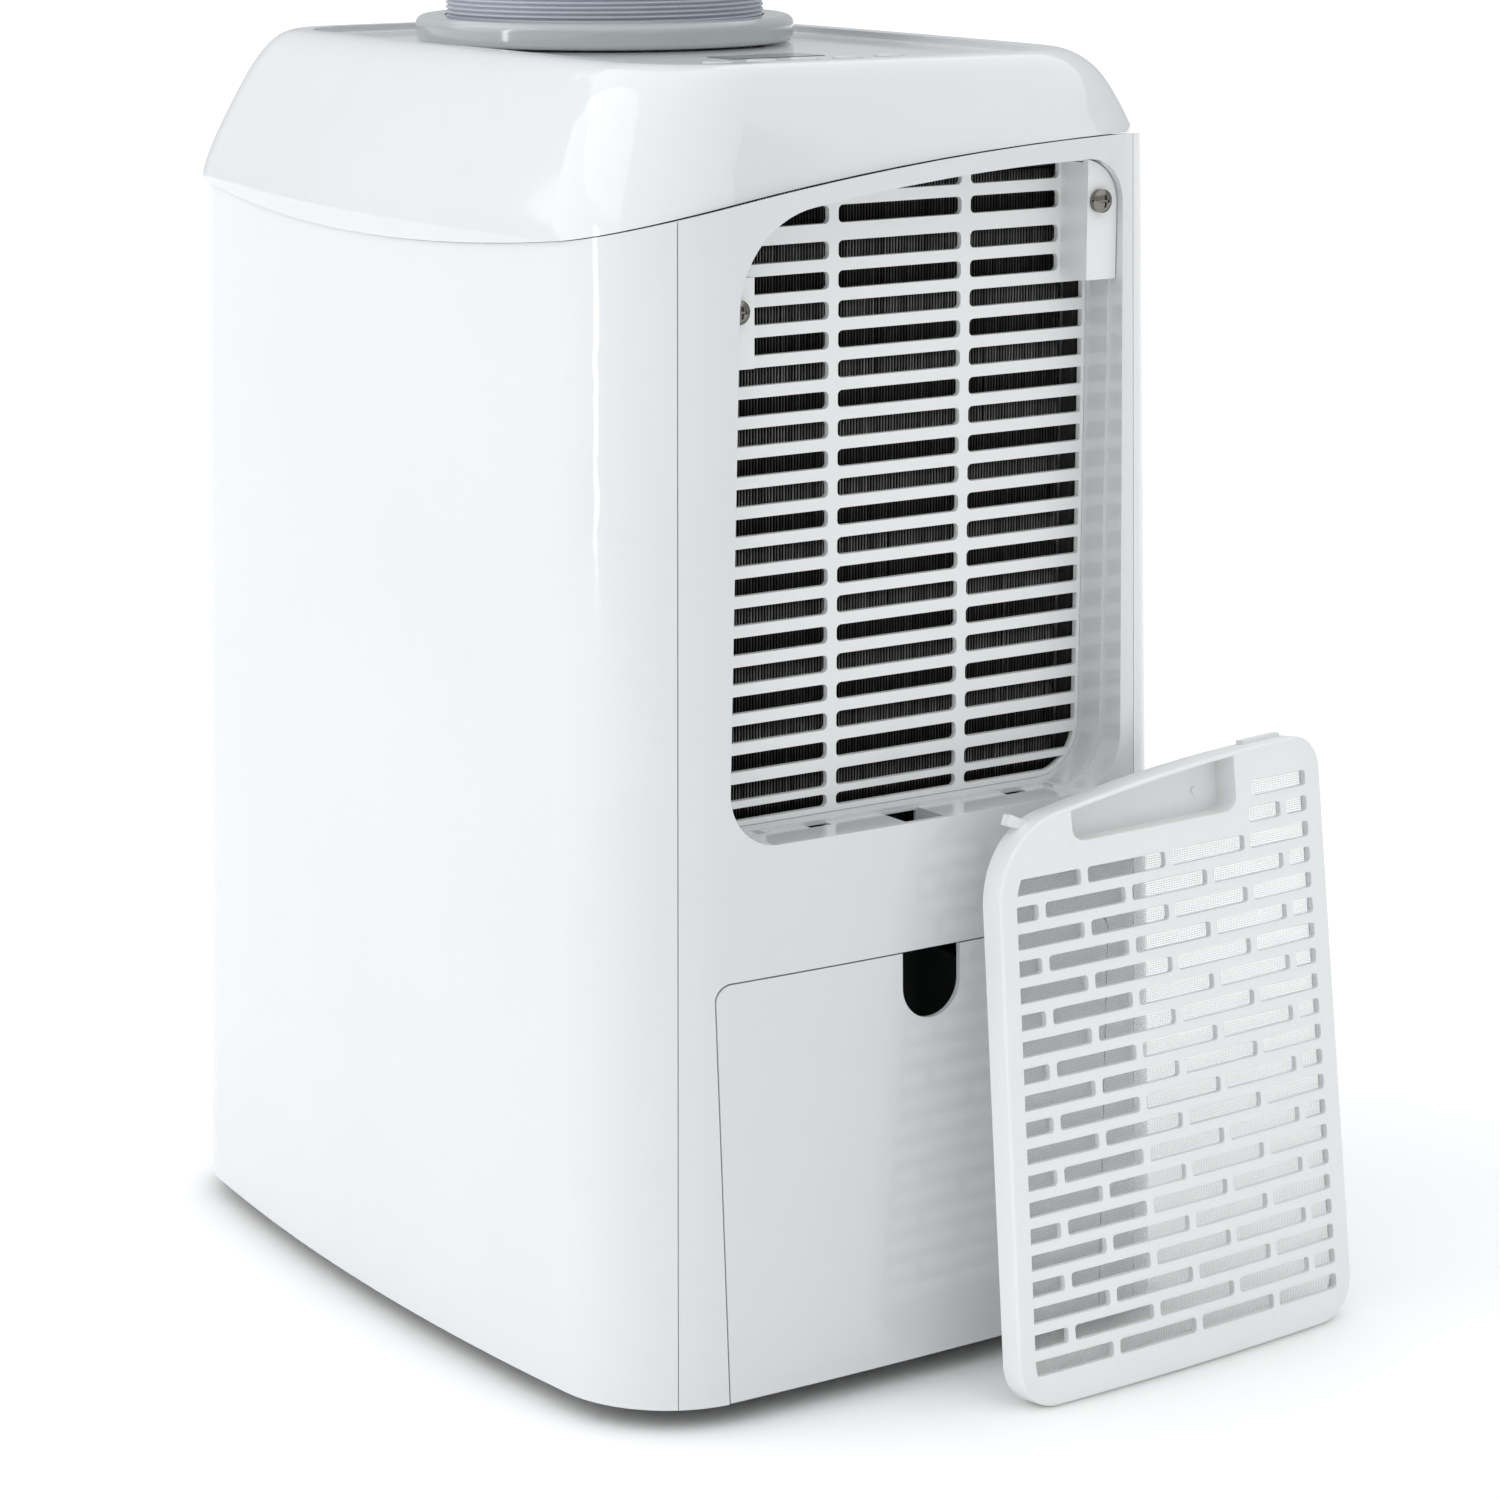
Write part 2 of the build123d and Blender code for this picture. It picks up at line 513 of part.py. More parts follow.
# ---- outlet louvres ----
def make_louvres():
    x0, x1 = OUTLET_X
    z0, z1 = OUTLET_Z
    frame = block(x0 + 0.5, x1 - 0.5, 130, 175, z0 + 0.5, z1 - 0.5)
    frame = fillet(frame.edges().filter_by(Axis.Y), 9.5)
    frame -= fillet(block(x0 + 4, x1 - 4, 120, 180, z0 + 4, z1 - 4).edges().filter_by(Axis.Y), 6)
    frame = frame & body_block(300, 560, -0.6)
    step = (z1 - z0 - 8) / BLADE_COUNT
    heights = [z0 + 4 + step * (k + 0.5) for k in range(BLADE_COUNT)]
    for height in heights:
        frame -= drum(x0 - 1, BLADE_Y, height, 1.56, x1 - x0 + 2, "X")
        frame -= drum(x0 - 1, BLADE_Y, height, 1.56, 10, "X")
    keep("louvre_frame", frame)
    for k, height in enumerate(heights):
        blade = Pos((x0 + x1) / 2 + 3, BLADE_Y, height) * Box(x1 - x0 - 20, 19, 2.2)
        blade = fillet(blade.edges().filter_by(Axis.X), 1.0)
        blade += drum(x0 + 1.5, BLADE_Y, height, 1.5, x1 - x0 - 3, "X")
        blade += drum(x0 + 8.4, BLADE_Y - LINK_ARM, height, 1.2, 6, "X")
        keep("louvre_blade_%d" % (k + 1), blade)
    link = block(x0 + 9.0, x0 + 10.8, 134.5, 143.0, heights[0] - 6, heights[-1] + 6)
    for height in heights:
        link -= block(x0 + 8, x0 + 12, 136.4, 141.6, height - 1.8, height + 1.8)
    keep("louvre_link", link)


# ---- rear fittings ----
def make_fittings():
    x, z = DRAIN
    spout = drum(x, 146, z, 8.0, 30, "Y") + drum(x, 150, z, 9.2, 13.5, "Y")
    spout -= drum(x, 152, z, 5.5, 40, "Y")
    keep("drain_spout", spout)
    plug = drum(x, 156, z, 5.3, 20.4, "Y") + drum(x, 176.3, z, 7.4, 3.0, "Y") + drum(x, 179, z, 3.5, 7, "Y")
    keep("drain_plug", plug)
    x, z = CORD_INLET
    gland = drum(x, 150, z, 6.0, 20, "Y") + drum(x, 164.5, z, 9.0, 3, "Y")
    keep("cord_inlet", gland - drum(x, 140, z, 3.6, 40, "Y"))
    screws = [Pos(x, y, z) * Rot(0, 90, 0) * truss_screw() for x, y, z in BOSS_SCREWS]
    for x in (-165, 165):
        for z in (110, 300, 470):
            y = BACK_REACH - DRAFT * z - END_BOW * (x / 227) ** 2
            NODES["rear_shell"] -= drum(x, 140, z, 1.6, 40, "Y")
            screws.append(Pos(x, y + 0.5, z) * Rot(-90, 0, 0) * truss_screw(9))
    keep("panel_screws", Compound(screws))


# ---- exhaust hose ----
def ribbed_tube(low, high, pitch, crest, root):
    """Corrugated duct wall turned about the hose's axis."""
    count = round((high - low) / pitch)
    step = (high - low) / count
    outer = []
    for k in range(count):
        outer += [(root, low + step * k), (crest, low + step * (k + 0.5))]
    outer += [(root, high), (root - 1.2, high), (root - 1.2, low)]
    profile = make_face(Plane.XZ * Polyline(*outer, close=True))
    return Pos(HOSE_X, 0, 0) * revolve(profile, Axis.Z)


def make_hose():
    collar = drum(HOSE_X, 0, COLLAR_BASE, COLLAR_RADIUS, COLLAR_TOP - COLLAR_BASE)
    collar = fillet(collar.edges().group_by(Axis.Z)[-1], 4.5)
    collar = fillet(collar.edges().group_by(Axis.Z)[0], 2.5)
    collar -= drum(HOSE_X, 0, 599.9, 78.0, 20)
    collar -= drum(HOSE_X, 0, 590, 74.2, 20)
    keep("hose_collar", collar)
    keep("exhaust_hose", ribbed_tube(600.2, HOSE_TOP, 4.5, HOSE_RADIUS, HOSE_RADIUS - 1.9))
    cuff = drum(HOSE_X, 0, HOSE_TOP - 15, 84, 26) + drum(HOSE_X, 0, HOSE_TOP + 10, 75, 28)
    cuff = fillet(cuff.edges().group_by(Axis.Z)[0], 1.5)
    cuff -= drum(HOSE_X, 0, HOSE_TOP - 16, 78, 16.3)
    cuff -= drum(HOSE_X, 0, HOSE_TOP - 16, 72.5, 60)
    keep("hose_end_coupling", cuff)


# ---- filter cover ----
def cover_outline(inset=0.0):
    """The recess outline with clearance, in the cover's own coordinates."""
    base = COVER_ORIGIN[1] - COVER_CLEARANCE
    return Pos(-COVER_ORIGIN[0], -COVER_ORIGIN[1]) * recess_sketch(COVER_CLEARANCE + inset, base)


def cover_slots():
    """Brick-bond ventilation slots, clipped to the cover's outline."""
    bricks = Sketch()
    for row in range(-2, 19):
        top = 246.5 - BRICK_RISE * row
        shift = 5.4 if row % 2 == 0 else 5.4 - BRICK_PITCH / 2
        for k in range(5):
            left = shift + BRICK_PITCH * k
            right = min(left + BRICK_LENGTH, 201.4)
            if row < 0:
                left = max(left, 160.5 if row == -1 else 164.4)
            if right - left > 8:
                brick = RectangleRounded(right - left, BRICK_HEIGHT, 1.8)
                bricks += Pos((left + right) / 2, top - BRICK_HEIGHT / 2) * brick
    return bricks & cover_outline(9.0)


def pocket_sketch(inset=0.0):
    """Grip recess under the cover's top edge."""
    zone = Pos(101.5, 279) * RectangleRounded(103.4 - 2 * inset, 40 - 2 * inset, 7 - inset)
    return zone & cover_outline(1.8 + inset)


def bowed_block(sketch, depth):
    """Fills a sketch of the cover from far behind up to the bowed surface that lies depth under its face."""
    drum_face = Pos(COVER_WIDTH / 2, -30, COVER_CREST - COVER_CURVE) * Rot(-90, 0, 0)
    drum_face = drum_face * Cylinder(COVER_CURVE - depth, 360, align=CENTRED_UP)
    return extrude(Pos(0, 0, 6) * sketch, amount=-6 - COVER_DEPTH - depth) & drum_face


def make_cover():
    frame = bowed_block(cover_outline(), 0)
    frame = fillet(frame.faces().sort_by(Axis.Z)[-1].edges(), 1.6)
    frame -= Pos(0, 0, -1) * bowed_block(cover_outline(2.2), COVER_SKIN - 1)
    frame -= Pos(0, 0, -7) * extrude(cover_slots(), amount=14)
    frame -= Pos(0, 0, -7) * extrude(pocket_sketch(), amount=14)
    cup = Pos(0, 0, -13) * extrude(pocket_sketch(-1.4), amount=20) & bowed_block(cover_outline(0.2), COVER_SKIN - 0.4)
    frame += cup - Pos(0, 0, -11.6) * extrude(pocket_sketch(), amount=20)
    for u, v, turn, width, length in COVER_LUGS:
        frame += Pos(u, v, -10.5) * Rot(0, 0, turn) * Pos(0, length / 2 - 1, 0) * Box(width, length, 5.0)
    frame += Pos(*POCKET_STUD, -12.0) * Cylinder(1.7, 1.6, align=CENTRED_UP)
    mesh = Pos(0, 0, -6.8) * extrude(cover_outline(3.0) - pocket_sketch(-2.2), amount=0.8)
    x, y = COVER_FOOT
    stand = Pos(x, y, -FLOOR_GAP) * Rot(0, 0, COVER_TURN) * Rot(0, -COVER_LEAN, 0)
    upright = stand * Plane.YZ.location
    keep("filter_cover", upright * frame)
    keep("filter_mesh", upright * mesh)


def build_all():
    make_shells()
    make_top()
    make_controls()
    make_base()
    make_castors()
    make_tank()
    make_circuit()
    make_deck()
    make_fans()
    make_louvres()
    make_fittings()
    make_hose()
    make_cover()


def whole_box():
    boxes = [shape.bounding_box() for shape in NODES.values()]
    low = [min(getattr(b.min, axis) for b in boxes) for axis in "XYZ"]
    high = [max(getattr(b.max, axis) for b in boxes) for axis in "XYZ"]
    return low, high


build_all()
LOW, HIGH = whole_box()
ORIGIN = (round((LOW[0] + HIGH[0]) / 2, 2), round((LOW[1] + HIGH[1]) / 2, 2), -FLOOR_GAP)

os.makedirs("parts", exist_ok=True)
for name, shape in NODES.items():
    moved = Pos(-ORIGIN[0], -ORIGIN[1], -ORIGIN[2]) * shape
    moved.label = name
    export_step(moved, "parts/%s.step" % name)
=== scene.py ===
import random
from math import cos, radians, sin, tau

import bmesh
import bpy
from mathutils import Matrix, Vector
from mathutils.bvhtree import BVHTree


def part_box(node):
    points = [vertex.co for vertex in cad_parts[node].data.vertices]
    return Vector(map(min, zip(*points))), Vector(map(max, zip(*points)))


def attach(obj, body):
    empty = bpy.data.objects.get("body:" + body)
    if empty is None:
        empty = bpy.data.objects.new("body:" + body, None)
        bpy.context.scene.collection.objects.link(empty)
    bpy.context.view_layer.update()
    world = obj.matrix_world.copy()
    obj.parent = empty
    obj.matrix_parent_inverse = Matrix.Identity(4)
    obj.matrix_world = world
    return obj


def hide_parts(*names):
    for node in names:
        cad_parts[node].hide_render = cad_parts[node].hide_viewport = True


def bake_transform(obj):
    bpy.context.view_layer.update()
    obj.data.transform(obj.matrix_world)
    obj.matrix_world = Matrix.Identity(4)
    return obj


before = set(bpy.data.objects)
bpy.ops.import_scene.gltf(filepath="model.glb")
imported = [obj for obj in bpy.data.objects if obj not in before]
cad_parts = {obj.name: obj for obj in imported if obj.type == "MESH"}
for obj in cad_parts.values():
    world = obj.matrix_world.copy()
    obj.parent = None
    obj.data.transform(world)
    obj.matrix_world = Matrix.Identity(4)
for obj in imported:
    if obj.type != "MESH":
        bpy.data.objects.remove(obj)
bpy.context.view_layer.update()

# ---- the machine's own frame, in millimetres: middle of the body, underside of the base ----
MM = 0.001
FLOOR_GAP = 10.0        # the base's height over the floor
HOSE_X = -38.0          # the hose's axis, from the middle of the body
HOSE_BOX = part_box("exhaust_hose")
MIDDLE = (HOSE_BOX[0] + HOSE_BOX[1]) / 2 - Vector((HOSE_X * MM, 0, 0))


def at(x, y, z):
    """A point of the scene, given in the machine's own millimetres."""
    return Vector((MIDDLE.x + x * MM, MIDDLE.y + y * MM, (z + FLOOR_GAP) * MM))


def own(point):
    """The machine's own millimetres for a point of the scene."""
    return (point - at(0, 0, 0)) / MM


# ---- materials ----
class Shader:
    """Small helper around one material's node tree."""

    def __init__(self, name, **sockets):
        self.material = bpy.data.materials.new(name)
        self.material.use_nodes = True
        self.tree = self.material.node_tree
        self.bsdf = self.tree.nodes["Principled BSDF"]
        self.coords = self.add("ShaderNodeTexCoord").outputs["Object"]
        for socket, value in sockets.items():
            self.bsdf.inputs[socket.replace("_", " ")].default_value = value

    def feed(self, socket, value):
        """Links an output to a socket, or sets the socket to a plain value."""
        if isinstance(value, bpy.types.NodeSocket):
            self.tree.links.new(value, socket)
        else:
            socket.default_value = value

    def add(self, kind, settings=None, **inputs):
        node = self.tree.nodes.new(kind)
        for key, value in (settings or {}).items():
            setattr(node, key, value)
        for key, value in inputs.items():
            self.feed(node.inputs[key.replace("_", " ")], value)
        return node

    def link(self, output, socket):
        self.tree.links.new(output, self.bsdf.inputs[socket])

    def math(self, operation, *values, clamp=False):
        node = self.add("ShaderNodeMath", {"operation": operation, "use_clamp": clamp})
        for socket, value in zip(node.inputs, values):
            self.feed(socket, value)
        return node.outputs[0]

    def noise(self, scale, detail, vector=None):
        node = self.add("ShaderNodeTexNoise", Vector=vector or self.coords, Scale=scale, Detail=detail)
        return node.outputs["Fac"]

    def ramp(self, fac, *stops):
        node = self.add("ShaderNodeValToRGB", Fac=fac)
        for element, (place, colour) in zip(node.color_ramp.elements, stops):
            element.position = place
            element.color = (*colour, 1.0)
        return node.outputs["Color"]

    def spread(self, fac, low, high):
        return self.add("ShaderNodeMapRange", Value=fac, To_Min=low, To_Max=high).outputs["Result"]

    def bump(self, height, strength, distance):
        node = self.add("ShaderNodeBump", Height=height, Strength=strength, Distance=distance)
        self.link(node.outputs["Normal"], "Normal")


def shade(colour, factor):
    return tuple(min(1.0, c * factor) for c in colour)


def plastic(name, colour, rough, vary=0.015, grain=700.0, relief=0.06, **sockets):
    """Moulded plastic: faint mottling, a fine moulded grain and uneven polish."""
    s = Shader(name, **sockets)
    mottle = s.noise(scale=7.0, detail=4.0)
    s.link(s.ramp(mottle, (0.3, shade(colour, 1 - vary)), (0.7, shade(colour, 1 + vary))), "Base Color")
    s.link(s.spread(s.noise(scale=26.0, detail=5.0), rough * 0.8, rough * 1.25), "Roughness")
    s.bump(s.noise(grain, detail=2.0), relief, distance=0.0004)
    return s.material


def metal(name, colour, rough, tarnish=None):
    """Bare or plated metal with cloudy tarnish and fine drawn scratches."""
    s = Shader(name, Metallic=1.0)
    cloud = s.noise(scale=60.0, detail=6.0)
    s.link(s.ramp(cloud, (0.35, tarnish or shade(colour, 0.7)), (0.65, colour)), "Base Color")
    s.link(s.spread(s.noise(scale=180.0, detail=4.0), rough * 0.75, rough * 1.4), "Roughness")
    s.bump(s.noise(scale=1400.0, detail=2.0), strength=0.12, distance=0.0003)
    return s.material


COIL_FACES = (-206.0, 180.0)                # the condenser's and the evaporator's outward faces
COIL_ROW = 0.0272                           # metres from one row of the coils' tubes to the next
FIN_EDGE = (0.0012, 0.0003)                 # depths at which a fin's bright edge begins after the painted shade deeper in and becomes full, in metres
# the fins' colour deeper in the coil is near black painted shade; the bright colour is their aluminium where
# the painted glint is full
FIN_PAINTED_SHADE = (0.006, 0.006, 0.006)
FIN_BRIGHT = (0.72, 0.72, 0.70)


def fins(name):
    """Coil fins: bright cut edges on the outside, with a painted glint in streaks and rows, and painted
    shade that turns them near black deeper in.
    """
    s = Shader(name, Metallic=0.3, Specular_IOR_Level=0.2)
    place = s.add("ShaderNodeSeparateXYZ", Vector=s.coords).outputs
    middle = at(sum(COIL_FACES) / 2, 0, 0).x
    reach = (COIL_FACES[1] - COIL_FACES[0]) / 2 * MM
    from_middle = s.math("ABSOLUTE", s.math("SUBTRACT", place["X"], middle))
    # 0 deep in the coil, where the colour is painted shade, rising to 1 at the fins' outer edges
    edge = s.add("ShaderNodeMapRange", Value=from_middle, From_Min=reach - FIN_EDGE[0],
                 From_Max=reach - FIN_EDGE[1]).outputs["Result"]
    stretched = s.add("ShaderNodeMapping", Vector=s.coords, Scale=(1.0, 1700.0, 9.0)).outputs["Vector"]
    # a painted glint along the fins, in streaks and in bands at the rows of tubes
    streaks = s.spread(s.noise(scale=1.0, detail=2.0, vector=stretched), -0.35, 1.5)
    rows = s.spread(s.math("SINE", s.math("MULTIPLY", place["Z"], tau / COIL_ROW)), 0.25, 1.0)
    glint_bands = s.math("MULTIPLY", streaks, rows, clamp=True)
    painted_light = s.math("MULTIPLY", glint_bands, edge, clamp=True)
    # colour from painted shade deep in the coil to the painted glint on the outer edges
    s.link(s.ramp(painted_light, (0.0, FIN_PAINTED_SHADE), (1.0, FIN_BRIGHT)), "Base Color")
    s.link(s.spread(s.noise(scale=180.0, detail=4.0), 0.28, 0.5), "Roughness")
    s.bump(s.noise(scale=1400.0, detail=2.0), strength=0.12, distance=0.0003)
    return s.material


def build_materials():
    """One material for each slot of the record, by the slot's name."""
    made = [
        plastic("white_gloss", (0.675, 0.69, 0.70), 0.09, grain=120.0, relief=0.02, Coat_Weight=0.3,
                Coat_Roughness=0.03),
        plastic("white_satin", (0.785, 0.80, 0.795), 0.3),
        plastic("grey_gloss", (0.40, 0.43, 0.43), 0.12, grain=120.0, relief=0.02, Coat_Weight=0.4),
        plastic("hose_grey", (0.43, 0.455, 0.51), 0.34, grain=500.0),
        plastic("dark_plastic", (0.035, 0.036, 0.038), 0.45, vary=0.15),
        plastic("castor_rubber", (0.05, 0.05, 0.052), 0.62, vary=0.2, grain=900.0, relief=0.2),
        plastic("rubber", (0.028, 0.028, 0.028), 0.75, vary=0.25, grain=600.0, relief=0.25),
        plastic("tank_clear", (0.62, 0.68, 0.70), 0.2, Transmission_Weight=0.35),
        plastic("float_white", (0.78, 0.78, 0.75), 0.5, grain=900.0, relief=0.2),
        plastic("button_grey", (0.60, 0.62, 0.63), 0.25),
        plastic("display_dark", (0.012, 0.014, 0.018), 0.08, relief=0.01, Coat_Weight=0.6),
        plastic("circuit_green", (0.02, 0.16, 0.07), 0.4, vary=0.25),
        plastic("spout_white", (0.72, 0.73, 0.72), 0.4),
        plastic("black_enamel", (0.015, 0.015, 0.016), 0.28, vary=0.2, grain=300.0, relief=0.12),
        plastic("mesh", (0.92, 0.93, 0.93), 0.6),
        fins("fin_aluminium"),
        metal("zinc_steel", (0.55, 0.57, 0.58), 0.36),
        metal("copper", (0.72, 0.36, 0.22), 0.3, tarnish=(0.32, 0.15, 0.09)),
        metal("screw_steel", (0.27, 0.255, 0.23), 0.16),
    ]
    return {material.name.split(".")[0]: material for material in made}


FINISH = build_materials()


def dress_cad_nodes():
    """Gives every node that came from CAD the detailed finish of its slot."""
    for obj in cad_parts.values():
        for holder in obj.material_slots:
            holder.material = FINISH[holder.material.name.split(".")[0]]


# ---- mesh helpers ----
def new_piece(name, verts, faces, slot, body=None, smooth=False):
    """Makes a mesh piece from points in the machine's own millimetres and dresses it."""
    mesh = bpy.data.meshes.new(name)
    mesh.from_pydata([at(*v) for v in verts], [], faces)
    mesh.materials.append(FINISH[slot])
    mesh.polygons.foreach_set("use_smooth", [smooth] * len(mesh.polygons))
    obj = bpy.data.objects.new(name, mesh)
    bpy.context.scene.collection.objects.link(obj)
    if body:
        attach(obj, body)
    return obj


def node_tree(name):
    """A CAD node's surface, ready for ray casts."""
    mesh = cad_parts[name].data
    return BVHTree.FromPolygons([v.co for v in mesh.vertices], [p.vertices for p in mesh.polygons])


def weld(obj, distance=0.00002):
    """Joins points that fall together and drops what collapses."""
    bm = bmesh.new()
    bm.from_mesh(obj.data)
    bmesh.ops.remove_doubles(bm, verts=bm.verts, dist=distance)
    bmesh.ops.dissolve_degenerate(bm, edges=bm.edges, dist=distance)
    bmesh.ops.recalc_face_normals(bm, faces=bm.faces)
    bm.to_mesh(obj.data)
    bm.free()


def stacked_prism(rings):
    """Points and faces of a closed bar whose four-cornered sections are given one after another."""
    verts = [v for ring in rings for v in ring]
    faces = [(3, 2, 1, 0)]
    for k in range(len(rings) - 1):
        for c in range(4):
            n = (c + 1) % 4
            faces.append((4 * k + c, 4 * k + n, 4 * k + 4 + n, 4 * k + 4 + c))
    last = 4 * (len(rings) - 1)
    faces.append((last, last + 1, last + 2, last + 3))
    return verts, faces


def gather(parts):
    """Joins several lists of points and faces into one."""
    verts = []
    faces = []
    for points, polygons in parts:
        faces += [tuple(i + len(verts) for i in polygon) for polygon in polygons]
        verts += points
    return verts, faces


# ---- exhaust hose ----
HOSE_LOW = 600.2
HOSE_HIGH = 895.0
HOSE_PITCH = 2.2
HOSE_SEGMENTS = 64
HOSE_OUTSIDE = (75.7, 76.8, 77.5, 77.5, 76.8)     # radius at even steps across one rib
HOSE_INSIDE = (74.3, 75.4, 75.4)


def helical_wall(profile, flip):
    """One winding wall of the hose, whose ribs climb as they go round."""
    count = len(profile)
    rows = round((HOSE_HIGH - HOSE_LOW) / HOSE_PITCH + 1) * count
    step = HOSE_PITCH / count
    verts = []
    for i in range(rows + 1):
        for j in range(HOSE_SEGMENTS):
            z = HOSE_LOW + step * i + HOSE_PITCH * (j / HOSE_SEGMENTS - 1)
            radius = profile[i % count]
            if z <= HOSE_LOW or z >= HOSE_HIGH:
                z = min(max(z, HOSE_LOW), HOSE_HIGH)
                radius = profile[0]
            angle = tau * j / HOSE_SEGMENTS
            verts.append((HOSE_X + radius * cos(angle), radius * sin(angle), z))
    faces = []
    for i in range(rows):
        for j in range(HOSE_SEGMENTS):
            here = i * HOSE_SEGMENTS + j
            turn_up = count * HOSE_SEGMENTS if j == HOSE_SEGMENTS - 1 else 0
            across = i * HOSE_SEGMENTS + (j + 1) % HOSE_SEGMENTS + turn_up
            if across + HOSE_SEGMENTS < len(verts):
                quad = (here, across, across + HOSE_SEGMENTS, here + HOSE_SEGMENTS)
                faces.append(quad[::-1] if flip else quad)
    return verts, faces


def build_hose():
    """Thin-walled ribbed hose that rises out of its collar."""
    walls = gather([helical_wall(HOSE_OUTSIDE, flip=False), helical_wall(HOSE_INSIDE, flip=True)])
    hose = new_piece("ribbed_exhaust_hose", *walls, "hose_grey", smooth=True)
    weld(hose)
    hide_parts("exhaust_hose")
    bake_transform(hose)


# ---- coils ----
FIN_PITCH = 1.63
FIN_THICKNESS = 0.24
FIN_STEPS = 24
FIN_LEAN = 0.12             # the most that a fin's outer edge leans over its height
BENT_SHARE = 0.12           # how many of the fins have a dent
DENT_DEPTH = (0.25, 0.75)
DENT_STEEPNESS = 9          # a dent reaches a ninth of the fin's height each way


def build_fin_pack(coil, seed, roughness):
    """A pack of separate thin fins that fills the box of a coil's CAD block; some are a little bent."""
    low, high = [own(corner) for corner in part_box(coil + "_fins")]
    dice = random.Random(seed)
    count = int((high.y - low.y) / FIN_PITCH)
    half = FIN_THICKNESS / 2
    blades = []
    for k in range(count):
        y = low.y + (high.y - low.y) * (k + 0.5) / count
        lean = dice.uniform(-FIN_LEAN, FIN_LEAN)
        dent = dice.uniform(*DENT_DEPTH) * roughness if dice.random() < BENT_SHARE else 0.0
        centre = dice.uniform(0.1, 0.9)
        rings = []
        for r in range(FIN_STEPS + 1):
            t = r / FIN_STEPS
            z = low.z + (high.z - low.z) * t
            front = y + lean * (t - 0.5) + dent * max(0.0, 1 - abs(t - centre) * DENT_STEEPNESS)
            rings.append([(high.x, front - half, z), (high.x, front + half, z),
                          (low.x, y + half, z), (low.x, y - half, z)])
        blades.append(stacked_prism(rings))
    pack = new_piece(coil + "_fin_pack", *gather(blades), "fin_aluminium", "root")
    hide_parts(coil + "_fins")


SEAL_STEPS = 30
SEAL_SINK = 0.6             # the wavy face lies about this far inside a strip's outer limit
SEAL_STRIPS = (
    ((176.0, -113.0, 256.0), (187.4, -106.2, 552.0)),       # beside the coil's left end
    ((177.5, 114.6, 256.0), (187.4, 120.5, 552.0)),         # beside its right end
    ((176.0, -105.8, 547.6), (187.4, 114.2, 553.0)),        # above it
)


def build_coil_seal():
    """Foam strips with a wavy face that close the gaps between the coil and the intake tub."""
    strips = []
    for (x0, y0, z0), (x1, y1, z1) in SEAL_STRIPS:
        rings = []
        for k in range(SEAL_STEPS + 1):
            t = k / SEAL_STEPS
            face = x1 - SEAL_SINK + 0.25 * sin(37 * t) + 0.15 * sin(91 * t)
            if z1 - z0 > y1 - y0:
                z = z0 + (z1 - z0) * t
                rings.append([(face, y0, z), (face, y1, z), (x0, y1, z), (x0, y0, z)])
            else:
                y = y0 + (y1 - y0) * t
                rings.append([(face, y, z0), (x0, y, z0), (x0, y, z1), (face, y, z1)])
        strips.append(stacked_prism(rings))
    new_piece("coil_seal_foam", *gather(strips), "rubber", "root")


# ---- filter net ----
COVER_FOOT = (297.0, 12.0)          # the leaning cover's corner, and its turn and lean in degrees
COVER_TURN = 3.1
COVER_LEAN = 7.4
THREAD_PITCH = 1.05
THREAD_RADIUS = 0.12
THREAD_DEPTHS = (-6.32, -6.47)      # the upright and the crosswise threads, behind the cover's front plane
NET_REACH = 290.0                   # more than the cover's width and height
RUN_UP = 20.0                       # a thread's line starts this far outside the cover


def cover_frame():
    """Where the leaning cover stands: its corner and its across, up and outward directions."""
    turn = Matrix.Rotation(radians(COVER_TURN), 3, "Z") @ Matrix.Rotation(radians(-COVER_LEAN), 3, "Y")
    corner = at(*COVER_FOOT, -FLOOR_GAP)
    return corner, turn @ Vector((0, 1, 0)), turn @ Vector((0, 0, 1)), turn @ Vector((1, 0, 0))


def crossings(tree, start, heading, reach, skip=0.00002):
    """Distances along a line at which it goes in and out of a closed mesh."""
    found = []
    travelled = 0.0
    while travelled < reach:
        hit, _, _, distance = tree.ray_cast(start + heading * travelled, heading, reach - travelled)
        if hit is None:
            break
        travelled += distance
        found.append(travelled)
        travelled += skip
    return found


def build_net():
    """Woven filter net: crossing threads cut to the outline that the cover leaves for it."""
    tree = node_tree("filter_mesh")
    corner, across, up, out = cover_frame()
    reach = (NET_REACH + 2.5 * RUN_UP) * MM
    threads = []
    for along, side, depth in ((up, across, THREAD_DEPTHS[0]), (across, up, THREAD_DEPTHS[1])):
        ring = [(side * a + out * b) * (THREAD_RADIUS * MM) for a, b in ((1, 0), (0, 1), (-1, 0), (0, -1))]
        for k in range(1, int(NET_REACH / THREAD_PITCH)):
            start = corner + side * (k * THREAD_PITCH * MM) + out * (depth * MM) - along * (RUN_UP * MM)
            ends = crossings(tree, start, along, reach)
            for near, far in zip(ends[::2], ends[1::2]):
                sections = [[own(start + along * d + r) for r in ring] for d in (near, far)]
                threads.append(stacked_prism(sections))
    net = new_piece("filter_net", *gather(threads), "mesh", "filter_cover", smooth=True)
    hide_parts("filter_mesh")


# ---- top rim ----
TOP_FLOOR = 596.6                   # height of the sunk top's floor
TOP_CENTRE = (60.0, 8.0)            # a point inside its rim
RIM_STEPS = 360
PROBE_HEIGHT = 2.0                  # the rim's wall is looked for this high over the floor
# steps outward from the wall, each with its height over the floor
COVE_SECTION = ((1.0, -0.4), (1.0, 1.6), (0.05, 1.6), (-0.25, 0.5), (-1.1, 0.02), (-1.1, -0.4))


